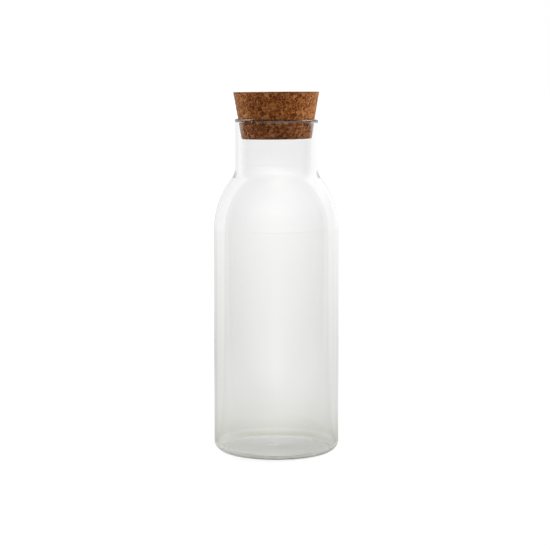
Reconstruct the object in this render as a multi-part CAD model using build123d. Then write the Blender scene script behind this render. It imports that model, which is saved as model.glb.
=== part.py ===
from build123d import *
import math
import os

# Clear glass jar with a cork stopper. Sizes are in millimetres.
# +Z is up, and the origin is the centre of the base, at the surface the jar stands on.

# Overall form of the glass
body_diameter = 89.0
rim_height = 236.5
neck_diameter = 59.1

# Shoulder, a full curve that tightens a little towards the neck
shoulder_start_height = 157.4
shoulder_lower_radius = 62.0
shoulder_upper_radius = 58.0
shoulder_lower_turn_degrees = 24.0
neck_fillet_radius = 8.5

# Walls of the glass
body_wall = 2.0
neck_wall = 2.4

# Base, about as thin as the walls: it stands on a ring, with a shallow recess inside the ring
floor_thickness = 2.0
floor_corner_bevel = 3.0
heel_radius = 7.0
foot_ring_width = 2.0
recess_height = 0.8
recess_flank_width = 2.8

# Fire-polished lip, fully rounded outside and eased inside, where the cork seats
lip_outer_radius = 1.2
lip_inner_bevel = 0.8

# Cork stopper, a taper that seats by its side on the inner edge of the lip
cork_taper_degrees = 9.6
cork_stand_above_rim = 19.0
cork_depth_in_neck = 14.0
cork_edge_bevel = 0.6
seat_clearance = 0.15

# Places that follow from these sizes
body_radius = body_diameter / 2
neck_radius = neck_diameter / 2
bore_radius = neck_radius - neck_wall


def foot_and_recess():
    """Outside of the glass from the axis, over the recess and the foot ring to the heel."""
    ring_outer_radius = body_radius - heel_radius
    ring_inner_radius = ring_outer_radius - foot_ring_width
    panel_radius = ring_inner_radius - recess_flank_width
    panel = Line((0, recess_height), (panel_radius, recess_height))
    flank = Line(panel @ 1, (ring_inner_radius, 0))
    foot_ring = Line(flank @ 1, (ring_outer_radius, 0))
    heel = JernArc(foot_ring @ 1, (1, 0), heel_radius, 90)
    wall = Line(heel @ 1, (body_radius, shoulder_start_height))
    return [panel, flank, foot_ring, heel, wall]


def shoulder(wall, fillet_radius, neck_face_radius):
    """Arcs from the straight wall over the shoulder to the neck, for either face of the glass."""
    wall_top = (body_radius - wall, shoulder_start_height)
    upper_radius = shoulder_upper_radius - wall
    lower = JernArc(wall_top, (0, 1), shoulder_lower_radius - wall, shoulder_lower_turn_degrees)
    upper_centre = (lower @ 1).X - upper_radius * (lower % 1).Y
    across = neck_face_radius + fillet_radius - upper_centre
    turn = math.degrees(math.acos(across / (upper_radius + fillet_radius)))
    upper = JernArc(lower @ 1, lower % 1, upper_radius, turn - shoulder_lower_turn_degrees)
    fillet = JernArc(upper @ 1, upper % 1, fillet_radius, -turn)
    return [lower, upper, fillet]


def lip(outer_neck_end, inner_neck_end):
    """Both sides of the neck and the lip over them, from the outer fillet to the inner one."""
    outer_neck = Line(outer_neck_end, (neck_radius, rim_height - lip_outer_radius))
    outer_round = JernArc(outer_neck @ 1, (0, 1), lip_outer_radius, 90)
    rim = Line(outer_round @ 1, (bore_radius + lip_inner_bevel, rim_height))
    inner_bevel = Line(rim @ 1, (bore_radius, rim_height - lip_inner_bevel))
    inner_neck = Line(inner_bevel @ 1, inner_neck_end)
    return [outer_neck, outer_round, rim, inner_bevel, inner_neck]


def inner_floor(inner_wall_top):
    """Inside of the glass down the wall, over the bevelled corner and along the floor."""
    floor_height = recess_height + floor_thickness
    inner_radius = body_radius - body_wall
    wall = Line(inner_wall_top, (inner_radius, floor_height + floor_corner_bevel))
    corner = Line(wall @ 1, (inner_radius - floor_corner_bevel, floor_height))
    floor = Line(corner @ 1, (0, floor_height))
    return [wall, corner, floor]


def glass_jar():
    """The vessel, one piece of glass: its half section turned about the axis."""
    foot = foot_and_recess()
    outside = shoulder(0, neck_fillet_radius, neck_radius)
    inside = shoulder(body_wall, neck_fillet_radius + neck_wall, bore_radius)
    neck = lip(outside[-1] @ 1, inside[-1] @ 1)
    floor = inner_floor(inside[0] @ 0)
    axis = Line(floor[-1] @ 1, foot[0] @ 0)
    section = make_face(foot + outside + neck + inside + floor + [axis])
    return revolve(Plane.XZ * section, Axis.Z)


def cork_radius(height):
    """Radius of the cork's side at a height, set by where it seats on the lip."""
    taper = math.radians(cork_taper_degrees)
    at_seat = bore_radius - seat_clearance / math.cos(taper)
    return at_seat + (height - rim_height + lip_inner_bevel) * math.tan(taper)


def cork_stopper():
    """The stopper, a tapered plug of cork with its edges cut back a little."""
    bottom = rim_height - cork_depth_in_neck
    top = rim_height + cork_stand_above_rim
    corners = [(0, bottom), (cork_radius(bottom), bottom), (cork_radius(top), top), (0, top)]
    section = make_face(Polyline(*corners, close=True))
    edges = section.vertices().filter_by(lambda corner: corner.X > cork_edge_bevel)
    section = chamfer(edges, cork_edge_bevel)
    return revolve(Plane.XZ * section, Axis.Z)


nodes = {"glass_jar": glass_jar(), "cork_stopper": cork_stopper()}

os.makedirs("parts", exist_ok=True)
for name, shape in nodes.items():
    export_step(shape, f"parts/{name}.step")
    print(f"{name}: {shape.volume / 1000:.1f} cubic centimetres")
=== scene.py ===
# %% [markdown]
# # A glass jar closed by a cork
# The real object is two pieces: a jar of clear glass, blown in one go, and a stopper pressed
# from cork granules. The exact shapes are already there as solid models, so this lesson is
# about looks: how thin clear glass shows its form by its edges, and how pressed cork breaks up
# into grains. We load the solid models first, and every piece below is made in their frame, in
# metres, with the origin at the centre of the base.

# %% Load the frame
import math

import bpy
import numpy as np
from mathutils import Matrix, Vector, noise


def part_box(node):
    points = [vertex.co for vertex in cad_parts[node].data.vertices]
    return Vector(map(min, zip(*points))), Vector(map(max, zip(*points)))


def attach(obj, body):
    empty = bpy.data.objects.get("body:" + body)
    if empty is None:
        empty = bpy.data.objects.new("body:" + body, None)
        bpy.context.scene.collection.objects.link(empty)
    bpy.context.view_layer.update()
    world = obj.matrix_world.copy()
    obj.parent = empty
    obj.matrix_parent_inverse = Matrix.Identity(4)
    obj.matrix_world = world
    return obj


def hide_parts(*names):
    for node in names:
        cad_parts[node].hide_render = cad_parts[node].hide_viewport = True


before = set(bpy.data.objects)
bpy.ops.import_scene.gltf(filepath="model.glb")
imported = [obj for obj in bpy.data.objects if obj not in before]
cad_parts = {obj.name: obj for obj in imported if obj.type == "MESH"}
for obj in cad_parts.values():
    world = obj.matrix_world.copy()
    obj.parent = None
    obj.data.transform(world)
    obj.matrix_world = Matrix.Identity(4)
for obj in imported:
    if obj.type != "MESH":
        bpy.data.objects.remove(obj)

scene = bpy.context.scene
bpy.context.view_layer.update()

# %% [markdown]
# ## Sizes
# Glass is drawn from a handful of real sizes. Three of them are read from the solid models, so
# that they can't drift apart: the body's radius, the height of the rim and the cork's two ends.
# The others are the ones a glass maker would write beside the drawing.

# %% Sizes of the glass and the cork, in metres
MM = 0.001
_, jar_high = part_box("glass_jar")
cork_low, cork_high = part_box("cork_stopper")

body_radius = jar_high.x
rim_height = jar_high.z
neck_radius = 29.55 * MM
body_wall = 2.0 * MM
neck_wall = 2.4 * MM

shoulder_start_height = 157.4 * MM
shoulder_lower_radius = 62.0 * MM
shoulder_upper_radius = 58.0 * MM
shoulder_lower_turn = 24.0
neck_fillet_radius = 8.5 * MM

heel_radius = 7.0 * MM
foot_ring_width = 2.0 * MM
recess_height = 0.8 * MM
floor_thickness = 2.0 * MM
floor_corner_radius = 4.0 * MM
floor_ridges = ((34.8 * MM, 0.6 * MM, 0.12 * MM), (37.9 * MM, 0.55 * MM, 0.15 * MM))

lip_round = 1.2 * MM
lip_bevel_across = 1.1 * MM
lip_bevel_down = 1.0 * MM
lip_bevel_blend = 0.5 * MM
lip_groove_down = 1.75 * MM
lip_groove_depth = 0.2 * MM
lip_groove_reach = 0.5 * MM

cork_taper = math.radians(9.6)
seat_clearance = 0.15 * MM
lip_seat_depth = 0.8 * MM
print(f"jar {2 * body_radius / MM:.1f} mm wide and {rim_height / MM:.1f} mm high")

# %% [markdown]
# ## Camera
# The photograph looks slightly down on the jar from about the height of its cork, with a long
# lens, so that the sides of the body stay almost parallel. The lens is worked out from the
# jar's width in the picture, and the pitch from how round the foot looks.

# %% Camera at the photograph's place
picture_width = 550
focal_pixels = 1695.0
jar_axis_pixel = 276.45
eye_distance = 1.2
eye_height = 0.2594
eye_pitch = math.radians(6.36)

lens = bpy.data.cameras.new("camera")
lens.lens = lens.sensor_width * focal_pixels / picture_width
camera = bpy.data.objects.new("camera", lens)
camera.location = (0, -eye_distance, eye_height)
turn_to_axis = (jar_axis_pixel - picture_width / 2) / focal_pixels
camera.rotation_euler = (math.pi / 2 - eye_pitch, 0, turn_to_axis)
scene.collection.objects.link(camera)
scene.camera = camera
print(f"camera: lens {lens.lens:.1f} mm, {math.degrees(eye_pitch):.1f} degrees down")

# %% [markdown]
# ## Writing materials as sums
# A material is a graph of nodes. Written node by node it is hard to read, so this small class
# wraps one output socket and lets Python's own signs add the nodes: `1 - mask` makes a Math node,
# and `a * b` on directions makes a Vector Math node. Everything else goes through `node`, which
# takes a node's type, its settings and what goes into its sockets.

# %% A socket that can be used in sums
class Flow:
    """One output socket of a material or of the world."""

    def __init__(self, socket):
        self.socket = socket

    def node(self, kind, settings=None, inputs=None, out=0):
        return add_node(self.socket.id_data, kind, settings, inputs, out)

    def sum(self, operation, other=None, swapped=False):
        """This socket and another value through a Math node, or Vector Math for a direction."""
        pair = [self] if other is None else [other, self] if swapped else [self, other]
        if self.socket.type == "VECTOR":
            pair = [(v, v, v) if isinstance(v, (int, float)) else v for v in pair]
            return self.node("VectorMath", {"operation": operation}, dict(enumerate(pair)))
        return self.node("Math", {"operation": operation}, dict(enumerate(pair)))

    def __add__(self, other):
        return self.sum("ADD", other)

    def __sub__(self, other):
        return self.sum("SUBTRACT", other)

    def __rsub__(self, other):
        return self.sum("SUBTRACT", other, swapped=True)

    def __mul__(self, other):
        return self.sum("MULTIPLY", other)

    def __truediv__(self, other):
        return self.sum("DIVIDE", other)

    def __rtruediv__(self, other):
        return self.sum("DIVIDE", other, swapped=True)

    __radd__ = __add__
    __rmul__ = __mul__

    def fade(self, reach):
        """Falls from 1 at nothing towards 0, to about a third at reach."""
        return (self * (-1 / reach)).sum("EXPONENT")

    def between(self, low, high, start=0.0, end=1.0):
        """A soft step from start to end as this value goes from low to high."""
        settings = {"interpolation_type": "SMOOTHSTEP"}
        inputs = {"Value": self, "From Min": low, "From Max": high, "To Min": start, "To Max": end}
        return self.node("MapRange", settings, inputs)


def add_node(tree, kind, settings=None, inputs=None, out=0):
    """Adds a node: its settings first, then the values and links of its sockets."""
    made = tree.nodes.new("ShaderNode" + kind)
    for key, value in (settings or {}).items():
        if key == "stops":
            fill_ramp(made.color_ramp, value)
        else:
            setattr(made, key, value)
    for key, value in (inputs or {}).items():
        socket = made.inputs[key]
        if isinstance(value, Flow):
            tree.links.new(value.socket, socket)
        else:
            socket.default_value = value
    return Flow(made.outputs[out])


def fill_ramp(ramp, stops):
    """Gives a colour ramp its stops, as pairs of a place and a colour."""
    while len(ramp.elements) > 1:
        ramp.elements.remove(ramp.elements[-1])
    for count, (place, colour) in enumerate(stops):
        stop = ramp.elements[0] if count == 0 else ramp.elements.new(place)
        stop.position = place
        stop.color = (*colour, 1)


def mix_colours(factor, first, second, how="MIX"):
    """Mixes two colours through a Mix node, because a Math node would turn them grey."""
    tree = next(f.socket.id_data for f in (factor, first, second) if isinstance(f, Flow))
    first, second = (c if isinstance(c, Flow) else (*c, 1) for c in (first, second))
    settings = {"data_type": "RGBA", "blend_type": how}
    return add_node(tree, "Mix", settings, {0: factor, 6: first, 7: second}, out=2)


def new_material(name):
    """An empty material with its output node, ready for a shader."""
    material = bpy.data.materials.new(name)
    material.use_nodes = True
    tree = material.node_tree
    tree.nodes.clear()
    output = tree.nodes.new("ShaderNodeOutputMaterial")
    return material, tree, output


def linear(red, green, blue):
    """A colour given as it looks on screen, from 0 to 255, as the light values shaders use."""
    def one(value):
        value /= 255
        return value / 12.92 if value <= 0.04045 else ((value + 0.055) / 1.055) ** 2.4
    return one(red), one(green), one(blue)


print("sums on sockets are ready")

# %% [markdown]
# ## Drawing a section
# Blown glass is round, so the whole jar is one half section turned about its axis. The pen below
# draws that section as a glass maker would: straight runs, and arcs that leave each run without
# a corner. Because every arc starts in the direction the last stretch ended, the surface has no
# creases, which matters a lot in glass: a crease would show as a bright line.

# %% A pen that draws runs and tangent arcs
class Pen:
    """Draws one side of a section as points, going straight or turning."""

    def __init__(self, across, up, heading):
        self.points = [(across, up)]
        self.heading = math.radians(heading)

    def run_to(self, across, up, step=4.0 * MM, end_step=0.3 * MM):
        """Goes straight to a point, with a point every step and one close to each end."""
        start = self.points[-1]
        length = math.dist(start, (across, up))
        count = max(1, round(length / step))
        shares = [i / count for i in range(1, count + 1)]
        if length > 4 * end_step:
            shares = sorted({end_step / length, 1 - end_step / length, *shares})
        for share in shares:
            point = (start[0] + (across - start[0]) * share, start[1] + (up - start[1]) * share)
            self.points.append(point)
        return self

    def arc(self, radius, turn, step=0.6 * MM):
        """Turns along an arc, to the left where turn is above zero."""
        turn = math.radians(turn)
        side = math.copysign(1, turn)
        x, z = self.points[-1]
        centre = (x - side * radius * math.sin(self.heading), z + side * radius * math.cos(self.heading))
        count = max(6, round(radius * abs(turn) / step))
        for i in range(1, count + 1):
            heading = self.heading + turn * i / count
            x = centre[0] + side * radius * math.sin(heading)
            z = centre[1] - side * radius * math.cos(heading)
            self.points.append((x, z))
        self.heading += turn
        return self


def shoulder_side(wall, fillet_radius, neck_face_radius):
    """One face of the glass from the straight wall over the shoulder to the neck."""
    upper_radius = shoulder_upper_radius - wall
    pen = Pen(body_radius - wall, shoulder_start_height, 90)
    pen.arc(shoulder_lower_radius - wall, shoulder_lower_turn)
    centre = pen.points[-1][0] - upper_radius * math.sin(pen.heading)
    across = neck_face_radius + fillet_radius - centre
    turn = math.degrees(math.acos(across / (upper_radius + fillet_radius)))
    pen.arc(upper_radius, turn - shoulder_lower_turn)
    pen.arc(fillet_radius, -turn)
    return pen.points


print("the pen is ready")

# %% [markdown]
# ## The jar's section
# The outside starts under the base, in the middle of the shallow recess that keeps the jar off
# its centre, and rounds the foot ring and the heel. The inside follows it, a wall's thickness
# further in, and ends on the slightly domed floor, with two fine ridges near its edge that draw
# the bright arcs above the foot. The lip is rounded in the flame outside and bevelled inside for
# the cork, which is why it shows as a dark line: light that enters the round meets the bevel too
# flatly to leave. A faint groove runs under the lip. In front of the cork, painted shade on the
# stopper just under the lip darkens that line further.

# %% Outside and inside of the glass
ring_outer = body_radius - heel_radius
ring_inner = ring_outer - foot_ring_width
bore_radius = neck_radius - neck_wall
recess_points = 28
groove_points = 15
lip_step = 0.15 * MM
bevel_step = 0.1 * MM
bevel_start_drop = 0.3 * MM
bevel_end_gap = 0.1 * MM
coarse_floor = (33.9 * MM, 36)
fine_floor = (34.0 * MM, 31)


def recess_curve(radius):
    """Height of the shallow recess under the base, at a distance from the axis."""
    return recess_height * (1 - (radius / ring_inner) ** 2)


def floor_curve(radius):
    """Height of the floor inside, which follows the recess and has two fine ridges near its edge."""
    height = recess_curve(radius) + floor_thickness
    for middle, reach, rise in floor_ridges:
        share = min(1, abs(radius - middle) / reach)
        height += rise * (1 - share * share) ** 2
    return height


def outside_of_the_glass():
    """From the middle of the base to the start of the lip."""
    dome = [(r, recess_curve(r)) for r in np.linspace(0, ring_inner, recess_points)]
    ring = Pen(ring_outer, 0, 0).arc(heel_radius, 90).run_to(body_radius, shoulder_start_height)
    neck = shoulder_side(0, neck_fillet_radius, neck_radius)
    groove = rim_height - lip_groove_down
    lip = Pen(*neck[-1], 90).run_to(neck_radius, groove - lip_groove_reach)
    for share in np.linspace(-1, 1, groove_points)[1:]:
        depth = lip_groove_depth * (1 - share * share) ** 2
        lip.points.append((neck_radius - depth, groove + lip_groove_reach * share))
    lip.run_to(neck_radius, rim_height - lip_round).arc(lip_round, 90, lip_step)
    return dome + ring.points + neck[1:] + lip.points[1:]


def inside_of_the_glass():
    """From the middle of the floor to the bore, where it meets the lip."""
    wall_radius = body_radius - body_wall
    flat = wall_radius - floor_corner_radius
    (coarse_end, coarse_count), (fine_start, fine_count) = coarse_floor, fine_floor
    steps = [*np.linspace(0, coarse_end, coarse_count), *np.linspace(fine_start, flat, fine_count)]
    floor = [(r, floor_curve(r)) for r in steps]
    edge = floor[-1][1]
    slope = math.degrees(math.atan2(edge - floor[-2][1], flat - floor[-2][0]))
    corner = Pen(flat, edge, slope).arc(floor_corner_radius, 90 - slope)
    corner.run_to(corner.points[-1][0], shoulder_start_height)
    lean = wall_radius - corner.points[-1][0]
    corner = [(r + lean * min(1, max(0, (r - flat) / floor_corner_radius)), z) for r, z in corner.points]
    neck = shoulder_side(body_wall, neck_fillet_radius + neck_wall, bore_radius)
    slant = math.degrees(math.atan2(lip_bevel_down, lip_bevel_across))
    lip = Pen(*neck[-1], 90).run_to(bore_radius, rim_height - lip_bevel_down - bevel_start_drop)
    lip.arc(lip_bevel_blend, slant - 90, bevel_step)
    lip.run_to(bore_radius + lip_bevel_across - bevel_end_gap, rim_height - bevel_end_gap)
    return floor + corner[1:] + neck[1:] + lip.points[1:]


outside = outside_of_the_glass()
inside = inside_of_the_glass()
print(f"section: {len(outside)} points outside, {len(inside)} inside")
print(f"the floor is {inside[0][1] / MM:.1f} mm up in the middle")

# %% [markdown]
# ## Turning the glass
# A lathe would give a perfect jar, and a perfect jar looks like a drawing of one. Real glass
# cools unevenly, so its inner face wanders by a few hundredths of a millimetre, and the floor
# keeps faint rings and a swirl where the glass was gathered. The rim sits a touch out of level.
# These are moves of whole vertices, so they also bend what is seen through the wall.

# %% Small irregularities of blown glass
around = 288
rim_tilt = math.radians(1.0)
wander = 0.05 * MM
wander_rate = 1.1
wander_rise = 14
wander_starts = (12 * MM, 30 * MM)
wander_ends = (195 * MM, 215 * MM)
floor_top = 12 * MM
floor_ring_depth = 0.012 * MM
floor_ring_spacing = 6.5 * MM
floor_rings_end = (30 * MM, 38 * MM)
swirl_radius = 9.0 * MM
swirl_core = 3 * MM
swirl_depth = 0.06 * MM
swirl_twist = 260
on_axis = 1e-7


def soft_step(value, low, high):
    share = min(1, max(0, (value - low) / (high - low)))
    return share * share * (3 - 2 * share)


def outer_point(radius, height, angle):
    """A point of the outer face, true to the section but for the rim's tilt."""
    x, y = radius * math.cos(angle), radius * math.sin(angle)
    level = soft_step(height, shoulder_start_height, rim_height)
    return x, y, height - level * math.tan(rim_tilt) * (x + neck_radius) / 2


def inner_point(radius, height, angle):
    """A point of the inner face, which wanders in and out and has rings in its floor."""
    place = Vector((math.cos(angle), math.sin(angle), height * wander_rise)) * wander_rate
    in_wall = soft_step(height, *wander_starts) * (1 - soft_step(height, *wander_ends))
    radius += wander * in_wall * noise.noise(place)
    x, y, z = outer_point(radius, height, angle)
    on_floor = 1 - soft_step(radius, *floor_rings_end)
    if height < floor_top:
        ripple = math.cos(2 * math.pi * radius / floor_ring_spacing)
        swirl = math.exp(-((radius / swirl_radius) ** 2)) * math.cos(2 * angle + radius * swirl_twist)
        z += on_floor * (floor_ring_depth * ripple + swirl_depth * swirl * min(1, radius / swirl_core))
    return x, y, z


def turn_section(name, strokes):
    """Turns a closed section, given as (points, placing rule) strokes, into a mesh."""
    verts, rings, faces = [], [], []
    for points, place in strokes:
        for radius, height in points:
            count = 1 if radius < on_axis else around
            rings.append(list(range(len(verts), len(verts) + count)))
            verts += [place(radius, height, 2 * math.pi * i / around) for i in range(count)]
    for low, high in zip(rings, rings[1:]):
        for i in range(around):
            j = (i + 1) % around
            if len(low) == 1:
                faces.append((low[0], high[j], high[i]))
            elif len(high) == 1:
                faces.append((low[i], low[j], high[0]))
            else:
                faces.append((low[i], low[j], high[j], high[i]))
    mesh = bpy.data.meshes.new(name)
    mesh.from_pydata(verts, [], faces)
    mesh.validate()
    mesh.shade_smooth()
    made = bpy.data.objects.new(name, mesh)
    scene.collection.objects.link(made)
    return made


jar = turn_section("jar_glass", [(outside, outer_point), (inside[::-1], inner_point)])
print(f"jar: {len(jar.data.vertices)} vertices, {len(jar.data.polygons)} faces")

# %% [markdown]
# ## Glass
# Clear glass has no colour of its own on the surface: light bends into it and out of it, and the
# long way along an edge or through the base takes a little of it, and of green the least, which
# leaves the faint grey-green of table glass. A tinted surface would colour thin and thick places
# alike, so the surface is a plain refracting shader, and the tint is a Volume Absorption inside.
# The only marks on the face are a slight ripple, faint smears and the light wear of the foot ring.

# %% Clear glass, tinted where it is thick
worn_height = 0.8 * MM
ripple_depth = 0.02 * MM
thick_tint = (0.5, 0.54, 0.5)
tint_density = 3.0


def clear_glass():
    material, tree, output = new_material("clear_glass")
    place = add_node(tree, "TexCoord", out=3)
    height = place.node("SeparateXYZ", inputs={0: place}, out=2)
    smear = place.node("TexNoise", inputs={"Vector": place * (1, 1, 0.35), "Scale": 26.0, "Detail": 3.0})
    worn_ring = 1 - height.between(0.0, worn_height)
    scratches = place.node("TexNoise", inputs={"Vector": place, "Scale": 900.0, "Detail": 2.0})
    roughness = smear.between(0.5, 0.75) * 0.012 + worn_ring * scratches * 0.3
    ripple = place.node("TexNoise", inputs={"Vector": place * (1, 1, 0.5), "Scale": 38.0, "Detail": 1.0})
    bump = place.node("Bump", inputs={"Strength": 0.5, "Distance": ripple_depth, "Height": ripple})
    shader = place.node("BsdfPrincipled", inputs={
        "Base Color": (1, 1, 1, 1),
        "Roughness": roughness,
        "IOR": 1.5,
        "Transmission Weight": 1.0,
        "Normal": bump,
    })
    absorbed = {"Color": (*thick_tint, 1), "Density": tint_density}
    inner = place.node("VolumeAbsorption", inputs=absorbed)
    tree.links.new(shader.socket, output.inputs["Surface"])
    tree.links.new(inner.socket, output.inputs["Volume"])
    return material


jar.data.materials.append(clear_glass())
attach(jar, "jar")
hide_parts("glass_jar")
print("glass is on the jar")

# %% [markdown]
# ## The stopper's form
# The stopper is ground from a block of pressed granules. Its outline is a plain taper with edges
# that crumbled a little, but the face is never smooth: each granule stands a hair higher or lower
# than its neighbours, the seams between them are grooves, and here and there a granule has
# fallen out and left a pit. The ends are a square grid pressed into a disc, because a fan of
# triangles would bunch up in the middle and spoil the relief there.

# %% Outline of the stopper
cork_edge_round = 0.5 * MM
edge_round_shares = (0.35, 0.7, 1.0)
cork_lean = math.radians(-0.6)
grid = 96
cork_around = 4 * grid
side_rows = 76


def cork_radius(height):
    """Radius of the stopper's side, set by where it seats on the lip."""
    seat = bore_radius - seat_clearance / math.cos(cork_taper)
    return seat + (height - rim_height + lip_seat_depth) * math.tan(cork_taper)


def disc_place(u, v):
    """A point of the square from -1 to 1 pressed into a disc, and its edge's angle."""
    if u == 0 and v == 0:
        return 0.0, 0.0
    if abs(u) > abs(v):
        return abs(u), math.pi / 4 * v / u + (math.pi if u < 0 else 0)
    return abs(v), math.pi / 2 - math.pi / 4 * u / v + (math.pi if v < 0 else 0)


def cork_surface():
    """Every vertex of the plain stopper with its outward direction, and the faces."""
    bottom, top = cork_low.z, cork_high.z
    places, outward, faces = [], [], []
    ends = {}
    for end, height, up in (("bottom", bottom, -1), ("top", top, 1)):
        disc = cork_radius(height) - cork_edge_round
        index = {}
        for i in range(grid + 1):
            for j in range(grid + 1):
                share, angle = disc_place(2 * i / grid - 1, 2 * j / grid - 1)
                index[i, j] = len(places)
                across, along = share * disc * math.cos(angle), share * disc * math.sin(angle)
                places.append(Vector((across, along, height)))
                outward.append(Vector((0, 0, up)))
        for i in range(grid):
            for j in range(grid):
                quad = (index[i, j], index[i + 1, j], index[i + 1, j + 1], index[i, j + 1])
                faces.append(quad if up > 0 else quad[::-1])
        ends[end] = edge_of_the_grid(index)
    join_side(places, outward, faces, ends)
    return places, outward, faces


def edge_of_the_grid(index):
    """The grid's rim in order round the disc."""
    rim = [index[grid, j] for j in range(grid)]
    rim += [index[i, grid] for i in range(grid, 0, -1)]
    rim += [index[0, j] for j in range(grid, 0, -1)]
    rim += [index[i, 0] for i in range(grid)]
    return rim


def join_side(places, outward, faces, ends):
    """The tapered side, with a small round at each end, joined to the two end discs."""
    rows = [ends["bottom"]]
    for height, inset, lean in side_profile():
        row = []
        for corner in ends["bottom"]:
            angle = math.atan2(places[corner].y, places[corner].x)
            level = Vector((math.cos(angle), math.sin(angle), 0))
            row.append(len(places))
            places.append(level * (cork_radius(height) - inset) + Vector((0, 0, height)))
            outward.append((level * math.cos(lean) + Vector((0, 0, math.sin(lean)))).normalized())
        rows.append(row)
    rows.append(ends["top"])
    for low, high in zip(rows, rows[1:]):
        for i in range(cork_around):
            j = (i + 1) % cork_around
            faces.append((low[i], low[j], high[j], high[i]))


def side_profile():
    """Height, inset and tilt of each ring of the side, from the bottom edge to the top."""
    bottom, top = cork_low.z, cork_high.z
    rounds = []
    for share in edge_round_shares:
        lean = math.pi / 2 * (1 - share)
        step_up = cork_edge_round * (1 - math.sin(lean))
        inset = cork_edge_round * (1 - math.cos(lean))
        rounds.append((step_up, inset, lean))
    low, high = bottom + cork_edge_round, top - cork_edge_round
    rings = [(bottom + step_up, inset, -lean) for step_up, inset, lean in rounds]
    rings += [(low + (high - low) * i / side_rows, 0.0, -cork_taper) for i in range(1, side_rows)]
    rings += [(top - step_up, inset, lean) for step_up, inset, lean in reversed(rounds)]
    return rings


places, outward, cork_faces = cork_surface()
print(f"plain stopper: {len(places)} vertices")

# %% [markdown]
# ## Granules, seams and pits
# The relief comes from cell noise: the point nearest to a vertex stands for its granule, and the
# gap between the nearest and the next nearest says how close the seam is. Each granule gets its
# own level from its point, the seam is cut as a groove, and a second, larger cell noise drops a
# few pits. All of it goes inwards, so the stopper never grows past its real size.

# %% Press the granules into the mesh
granule = 2.1 * MM
granule_step = 0.16 * MM
seam_depth = 0.13 * MM
seam_width_share = 0.16
pit_spacing = 3.4 * MM
pit_reach_share = 0.22
pit_depth = 0.55 * MM
pit_free_share = 0.45
crumb_depth = 0.16 * MM
crumb_size = 0.9 * MM
edge_reach = 0.7 * MM
granule_shift = Vector((0.013, 0.027, 0.041))
pit_shift = Vector((0.31, 0.17, 0.23))
number_rate = 7.31
number_shift = Vector((3.7, 1.9, 5.3))


def cell_noise(place, size):
    """Distance to the nearest cell's point, the gap to the next one, and the cell's own number."""
    far, points = noise.voronoi(place / size)
    number = noise.cell_vector(points[0] * number_rate + number_shift)
    return far[0], far[1] - far[0], number


def relief(place):
    """How far a vertex sinks, and how deep in a pit it lies, from 0 to 1."""
    _, gap, number = cell_noise(place + granule_shift, granule)
    sink = granule_step * number.x + seam_depth * (1 - soft_step(gap, 0, seam_width_share))
    near, _, chance = cell_noise(place + pit_shift, pit_spacing)
    open_share = pit_reach_share * (0.5 + chance.y)
    pit = (1 - soft_step(near, open_share * 0.4, open_share)) if chance.x > pit_free_share else 0.0
    crumbs = crumb_depth * abs(noise.noise(place / crumb_size))
    return sink + pit * pit_depth + crumbs, pit


def press_granules():
    """The stopper's vertices after the granules are pressed in, and how much each is pit or edge."""
    moved, pits, edges = [], [], []
    pivot = Vector((0, 0, rim_height))
    for place, out in zip(places, outward):
        sink, pit = relief(place)
        point = place - out * sink
        leaned = Vector((
            point.x * math.cos(cork_lean) + (point.z - pivot.z) * math.sin(cork_lean),
            point.y,
            pivot.z - point.x * math.sin(cork_lean) + (point.z - pivot.z) * math.cos(cork_lean),
        ))
        leaned.z = min(leaned.z, cork_high.z)
        moved.append(leaned)
        pits.append(pit)
        radial = cork_radius(place.z) - math.hypot(place.x, place.y)
        to_edge = max(radial, min(cork_high.z - place.z, place.z - cork_low.z))
        edges.append(math.exp(-((to_edge / edge_reach) ** 2)))
    return moved, pits, edges


moved, pits, edges = press_granules()
cork_mesh = bpy.data.meshes.new("cork_plug")
cork_mesh.from_pydata(moved, [], cork_faces)
cork_mesh.validate()
cork_mesh.shade_smooth()
for name, values in (("pit_share", pits), ("edge_share", edges)):
    cork_mesh.attributes.new(name, "FLOAT", "POINT").data.foreach_set("value", values)
cork = bpy.data.objects.new("cork_plug", cork_mesh)
scene.collection.objects.link(cork)
print(f"stopper: {len(cork_mesh.polygons)} faces, {sum(p > 0.5 for p in pits)} vertices in pits")

# %% [markdown]
# ## Cork
# Pressed cork is a crowd of small cuts of bark. Each has its own brown, and a grain that runs
# its own way, so the flecks point everywhere. In the shader each cell of a Voronoi texture picks
# a tone and turns the space inside it by its own angle before the grain is drawn. Dark specks of
# outer bark and a painted shadow in the pits come on top. Where the lip presses the stopper, it
# carries a faint uneven dark band, which is painted shade of the narrow gap between glass and cork.

# %% Cork made of turned granules
seam_stray = 0.8 * MM
bark_depth = 0.18 * MM
speck_spacing = 1.5 * MM
# Painted shade of the narrow gap where the lip meets the stopper, drawn as a dark band under the rim.
seat_shade_starts = (2.4 * MM, 1.7 * MM)
seat_shade_ends = (0.5 * MM, -0.1 * MM)


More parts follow.
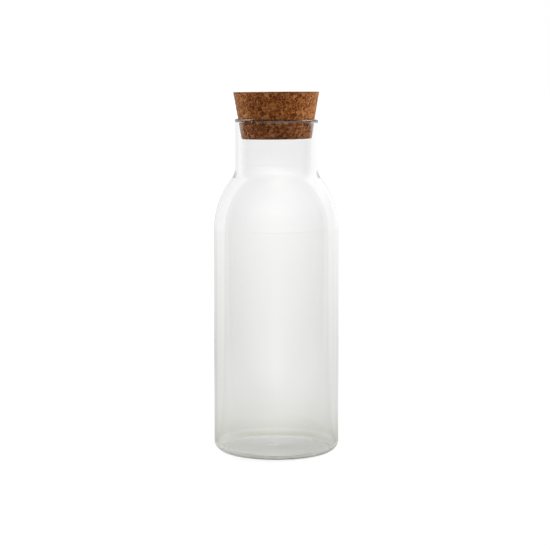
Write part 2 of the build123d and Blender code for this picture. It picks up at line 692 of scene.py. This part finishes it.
def cork_bark():
    material, tree, output = new_material("cork")
    place = add_node(tree, "TexCoord", out=3)
    stray = place.node("TexNoise", inputs={"Vector": place, "Scale": 420.0, "Detail": 2.0}, out=1)
    bent = place + (stray - 0.5) * seam_stray
    cell = {"Vector": bent, "Scale": 1 / granule, "Randomness": 1.0}
    number = place.node("TexVoronoi", {"feature": "F1"}, cell, out=1)
    seam = place.node("TexVoronoi", {"feature": "DISTANCE_TO_EDGE"}, cell)
    tone = number.node("SeparateColor", inputs={0: number})
    way = number.node("SeparateColor", inputs={0: number}, out=1)
    turned = place.node(
        "VectorRotate", {"rotation_type": "AXIS_ANGLE"},
        {"Vector": bent, "Axis": number, "Angle": way * (2 * math.pi)},
    )
    fibres = {"Vector": turned * (1, 0.28, 0.28), "Scale": 1500.0, "Detail": 4.0, "Roughness": 0.65}
    grain = place.node("TexNoise", inputs=fibres)
    granules = tone.node("ValToRGB", {"stops": [
        (0.0, linear(97, 42, 2)),
        (0.35, linear(117, 57, 8)),
        (0.65, linear(133, 72, 19)),
        (0.9, linear(152, 94, 45)),
        (1.0, linear(178, 128, 86)),
    ]}, {0: tone})
    streaks = grain.node("ValToRGB", {"stops": [
        (0.3, linear(120, 80, 40)),
        (0.5, linear(205, 186, 160)),
        (0.72, linear(255, 254, 250)),
    ]}, {0: grain})
    colour = mix_colours(0.85, granules, streaks, "MULTIPLY")
    speck_cell = {"Vector": bent, "Scale": 1 / speck_spacing}
    from_speck = place.node("TexVoronoi", {"feature": "F1"}, speck_cell)
    speck_number = place.node("TexVoronoi", {"feature": "F1"}, speck_cell, out=1)
    chance = speck_number.node("SeparateColor", inputs={0: speck_number}, out=2)
    specks = (1 - from_speck.between(0.2, 0.42)) * chance.between(0.72, 0.8)
    colour = mix_colours(specks * 0.8, colour, linear(50, 22, 5))
    broken = place.node("TexNoise", inputs={"Vector": place, "Scale": 600.0, "Detail": 1.0})
    seams = (1 - seam.between(0.03, 0.14)) * broken.between(0.38, 0.62)
    colour = mix_colours(seams * 0.5, colour, linear(186, 130, 72))
    level = place.node("SeparateXYZ", inputs={0: place}, out=2)
    # Painted shade: a dark band under the lip, where the gap between glass and stopper is shaded.
    seat_shade = level.between(*(rim_height - drop for drop in seat_shade_starts))
    seat_shade = seat_shade * (1 - level.between(*(rim_height - drop for drop in seat_shade_ends)))
    colour = mix_colours(seat_shade * grain.between(0.35, 0.6, 0.45, 0.1), colour, linear(44, 20, 7))
    # Painted shadow in the pits: the deeper a vertex lies in a pit, the darker its colour.
    pit = place.node("Attribute", {"attribute_name": "pit_share"}, out=2)
    colour = mix_colours(pit.between(0.1, 0.8) * 0.8, colour, linear(57, 23, 5))
    edge = place.node("Attribute", {"attribute_name": "edge_share"}, out=2)
    colour = mix_colours(edge * 0.85, colour, linear(54, 26, 11))
    height = grain * 0.5 + seam.between(0.0, 0.12) * 0.6 - specks * 0.5
    bump = place.node("Bump", inputs={"Strength": 0.7, "Distance": bark_depth, "Height": height})
    shader = place.node("BsdfPrincipled", inputs={
        "Base Color": colour,
        "Roughness": grain.between(0.3, 0.7, 0.78, 0.58),
        "Specular IOR Level": 0.1,
        "Sheen Weight": 0.22,
        "Sheen Roughness": 0.5,
        "Sheen Tint": (*linear(240, 214, 170), 1),
        "Normal": bump,
    })
    tree.links.new(shader.socket, output.inputs["Surface"])
    return material


cork_mesh.materials.append(cork_bark())
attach(cork, "stopper")
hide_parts("cork_stopper")
print("cork is on the stopper")

# %% [markdown]
# ## Light
# Everything that lights the jar is planned in one place. Three large soft lamps stand at the
# sides, a little behind the jar, and above it. Each is given by its azimuth, where 0 is the
# camera's side and 90 the right, its elevation, how bright it makes a white card that faces it,
# and the level at which it reaches the cork through the glass. At these levels a colour comes
# out about as it is written.

# %% Three soft lamps
lamp_side = 0.8
lamp_distance = 1.2
lamp_plan = {
    "right_lamp": (100, 25, 1.6, 3.4),
    "left_lamp": (-110, 25, 1.2, 3.6),
    "top_lamp": (20, 75, 0.3, 0.5),
}


def lamp_way(azimuth, elevation):
    """The direction from the jar towards a lamp."""
    a, e = math.radians(azimuth), math.radians(elevation)
    return Vector((math.sin(a) * math.cos(e), -math.cos(a) * math.cos(e), math.sin(e)))


def soft_lamp(name, azimuth, elevation, level):
    """A square lamp aimed at the neck, with the watts that give a facing white card this level."""
    towards = lamp_way(azimuth, elevation)
    data = bpy.data.lights.new(name, "AREA")
    data.shape = "SQUARE"
    data.size = lamp_side
    data.energy = level * math.pi ** 2 * lamp_distance ** 2
    lamp = bpy.data.objects.new(name, data)
    lamp.location = Vector((0, 0, rim_height)) + towards * lamp_distance
    lamp.rotation_mode = "QUATERNION"
    lamp.rotation_quaternion = (-towards).to_track_quat("-Z", "Y")
    lamp.visible_glossy = False
    lamp.visible_transmission = False
    scene.collection.objects.link(lamp)
    print(f"{name}: {data.energy:.1f} W")


for name, (azimuth, elevation, level, _) in lamp_plan.items():
    soft_lamp(name, azimuth, elevation, level)

# %% [markdown]
# ## The room that the glass mirrors
# Clear glass is drawn by what stands round it. A jar photographed on a lit table has white behind
# it and a mostly dark room in front, with one soft window. That room may only show where the
# glass mirrors, because seen straight through the wall everything is light. Light Path tells the
# rays apart: its Glossy Depth counts only mirrorings, so a ray that went straight through the
# wall still has 0, and the wall stays clear from every side.

# %% Kinds of ray, and the room round the jar
dark_room = 0.04
front_fill = 0.3
window_way = (0.27, -0.96)
window_level = 0.65
window_sharpness = 3.0


def ray_kinds(tree):
    """What kind of ray asks: from the camera, through glass, met in glass, mirrored in it."""
    names = ("Is Camera Ray", "Is Glossy Ray", "Is Transmission Ray", "Diffuse Depth", "Glossy Depth")
    kinds = [add_node(tree, "LightPath", out=name) for name in names]
    camera_ray, glossy, through, scattered, mirrorings = kinds
    glass = glossy.sum("MAXIMUM", through) * (1 - scattered.sum("GREATER_THAN", 0.5))
    return camera_ray, through, glass, mirrorings.sum("GREATER_THAN", 0.5)


def surround(x, y, open_share, least=0.0):
    """What is mirrored from a direction: white behind, and a front room where it is open."""
    length = (x * x + y * y).sum("SQRT")
    across, forward = x / length, y / length
    behind = across.between(-0.35, -0.1, 0.88, 1.0)
    window = (across * window_way[0] + forward * window_way[1]).sum("MAXIMUM", 0.0)
    window = window.sum("POWER", window_sharpness) * window_level
    fill = across.between(-1.0, -0.75) * front_fill
    front = ((window + fill) * open_share + dark_room).sum("MAXIMUM", least)
    return front + (behind - front) * forward.between(0.32, 0.4)


window_azimuth = math.degrees(math.atan2(window_way[0], -window_way[1]))
print(f"the room's window stands {window_azimuth:.0f} degrees to the right of the camera")

# %% [markdown]
# ## Floor
# The floor does three jobs. Seen straight, it is white paper with the jar's soft shadow. Seen
# through the glass, it is a little darker and warmer close to the jar, where a real table is
# shaded. Mirrored in the glass, it is part of the room, and a few soft steps say how open the
# room's front is at each distance from the jar. Most of this light the floor gives off itself, so
# that its white is even, and only a small share is lit paper, which takes the shadow.

# %% White floor
floor_reach = 40.0
floor_drop = 0.05 * MM
floor_corners = 64
soft_fill = 0.8
wide_shade, wide_shade_reach = 0.2, 1.2
close_shade, close_shade_reach = 0.42, 0.065
shaded_tint = (0.99, 1, 0.965)
warm_tint = (0.99, 1, 0.87)
warmth, warmth_reach = 2.6, 0.045
opening_steps = ((0.35, 0.6, -0.4), (0.6, 1.2, -0.2), (3.5, 5.5, -0.8), (11.0, 14.0, 1.0))


def white_floor():
    material, tree, output = new_material("white_floor")
    camera_ray, _, glass, mirrored = ray_kinds(tree)
    place = add_node(tree, "TexCoord", out=3)
    x = place.node("SeparateXYZ", inputs={0: place})
    y = place.node("SeparateXYZ", inputs={0: place}, out=1)
    far = (x * x + y * y).sum("SQRT")
    # Painted shade on the floor to the sides of the jar, seen only through the glass and in its
    # mirrorings.
    side_shade = (x.sum("ABSOLUTE") / far).between(0.1, 0.35) * far.fade(1.0)
    side_shade = side_shade * far.between(0.1, 0.5, (x / far).between(0.45, 0.85, 0.07, 0.18), 0.2)
    shade = far.fade(wide_shade_reach) * wide_shade + far.fade(close_shade_reach) * close_shade
    table = (1 - shade) * (1 - side_shade * (0.5 + mirrored * 0.5))
    tint = mix_colours((shade * 4).sum("MINIMUM", 1.0), (1, 1, 1), shaded_tint)
    warm = (far.fade(warmth_reach) * warmth).sum("MINIMUM", 1.0)
    tint = mix_colours(warm, tint, warm_tint)
    paper = place.node("BsdfDiffuse", inputs={"Color": (0.15, 0.15, 0.15, 1)})
    glow = place.node("Emission", inputs={"Strength": far.between(0.2, 1.6, 0.76, 1.0)})
    seen = place.node("AddShader", inputs={0: paper, 1: glow})
    bounce = place.node("Emission", inputs={"Strength": soft_fill})
    open_share = far.between(0.05, 0.3, 0.5, 1.4)
    for near, away, change in opening_steps:
        open_share = open_share + far.between(near, away, 0.0, change)
    near_foot = far.between(0.04, 0.09, 1.0, 0.62) * far.between(0.2, 0.7, 1.0, 0.0)
    room = table * (1 + (surround(x, y, open_share, near_foot) - 1) * mirrored)
    clear = place.node("Emission", inputs={"Color": tint, "Strength": room})
    kind = place.node("MixShader", inputs={0: camera_ray, 1: bounce, 2: seen})
    kind = place.node("MixShader", inputs={0: glass, 1: kind, 2: clear})
    tree.links.new(kind.socket, output.inputs["Surface"])
    return material


floor_mesh = bpy.data.meshes.new("floor")
turns = np.linspace(0, 2 * math.pi, floor_corners, endpoint=False)
corners = [(floor_reach * math.cos(a), floor_reach * math.sin(a), -floor_drop) for a in turns]
floor_mesh.from_pydata(corners, [], [tuple(range(floor_corners))])
floor = bpy.data.objects.new("floor", floor_mesh)
floor_mesh.materials.append(white_floor())
scene.collection.objects.link(floor)
print(f"floor: white, {2 * floor_reach:.0f} m across, shaded near the jar where glass shows it")

# %% [markdown]
# ## Surroundings
# The background is plain white, also straight through the glass. Mirrored in the glass, it is the
# same room as over the floor, with two things more: a slightly grey patch straight behind, a
# little above the horizon, which darkens the lines of the foot, and a backlight high up behind on
# the right. The lamps can't send their light through glass, so the part of the cork that is in
# the neck gets it from soft lobes in the same directions.

# %% White surroundings
lobe_sharpness = 6
backlight = 0.25
patch_depth = 0.3


def surroundings():
    world = bpy.data.worlds.new("surroundings")
    world.use_nodes = True
    tree = world.node_tree
    tree.nodes.clear()
    output = tree.nodes.new("ShaderNodeOutputWorld")
    camera_ray, through, glass, mirrored = ray_kinds(tree)
    place = add_node(tree, "TexCoord", out=0)
    x = place.node("SeparateXYZ", inputs={0: place})
    y = place.node("SeparateXYZ", inputs={0: place}, out=1)
    z = place.node("SeparateXYZ", inputs={0: place}, out=2)
    lobes = 0.0
    for azimuth, elevation, _, behind_glass in lamp_plan.values():
        towards = {0: place, 1: lamp_way(azimuth, elevation)}
        facing = place.node("VectorMath", {"operation": "DOT_PRODUCT"}, towards, out=1)
        lobe = facing.sum("MAXIMUM", 0.0).sum("POWER", lobe_sharpness)
        lobes = lobe * (behind_glass * (lobe_sharpness + 2) / 2) + lobes
    soft = lobes * through + soft_fill
    strength = soft + (1 - soft) * camera_ray
    high_behind = z.between(0.15, 0.4) * y.between(0.1, 0.4) * x.between(-0.2, 0.3)
    room = surround(x, y, 1.0) + high_behind * backlight
    patch = z.between(0.08, 0.2) * y.between(0.85, 0.95)
    patch = patch * x.sum("ABSOLUTE").between(0.22, 0.36, patch_depth, 0.0)
    room = 1 + (room * (1 - patch) - 1) * mirrored
    strength = strength + (room - strength) * glass
    sky = place.node("Background", inputs={"Color": (1, 1, 1, 1), "Strength": strength})
    tree.links.new(sky.socket, output.inputs["Surface"])
    return world


scene.world = surroundings()
print("surroundings: white to the eye and through the glass, a room where they are mirrored")

# %% [markdown]
# ## Finish
# The rim and the foot get their dark lines from light that is mirrored many times inside the glass,
# so a ray is followed for more bounces than usual before it counts as lost.

# %% Picture settings and the end
most_bounces = 24
scene.view_settings.view_transform = "Standard"
scene.cycles.max_bounces = most_bounces
scene.cycles.glossy_bounces = most_bounces
scene.cycles.transmission_bounces = most_bounces
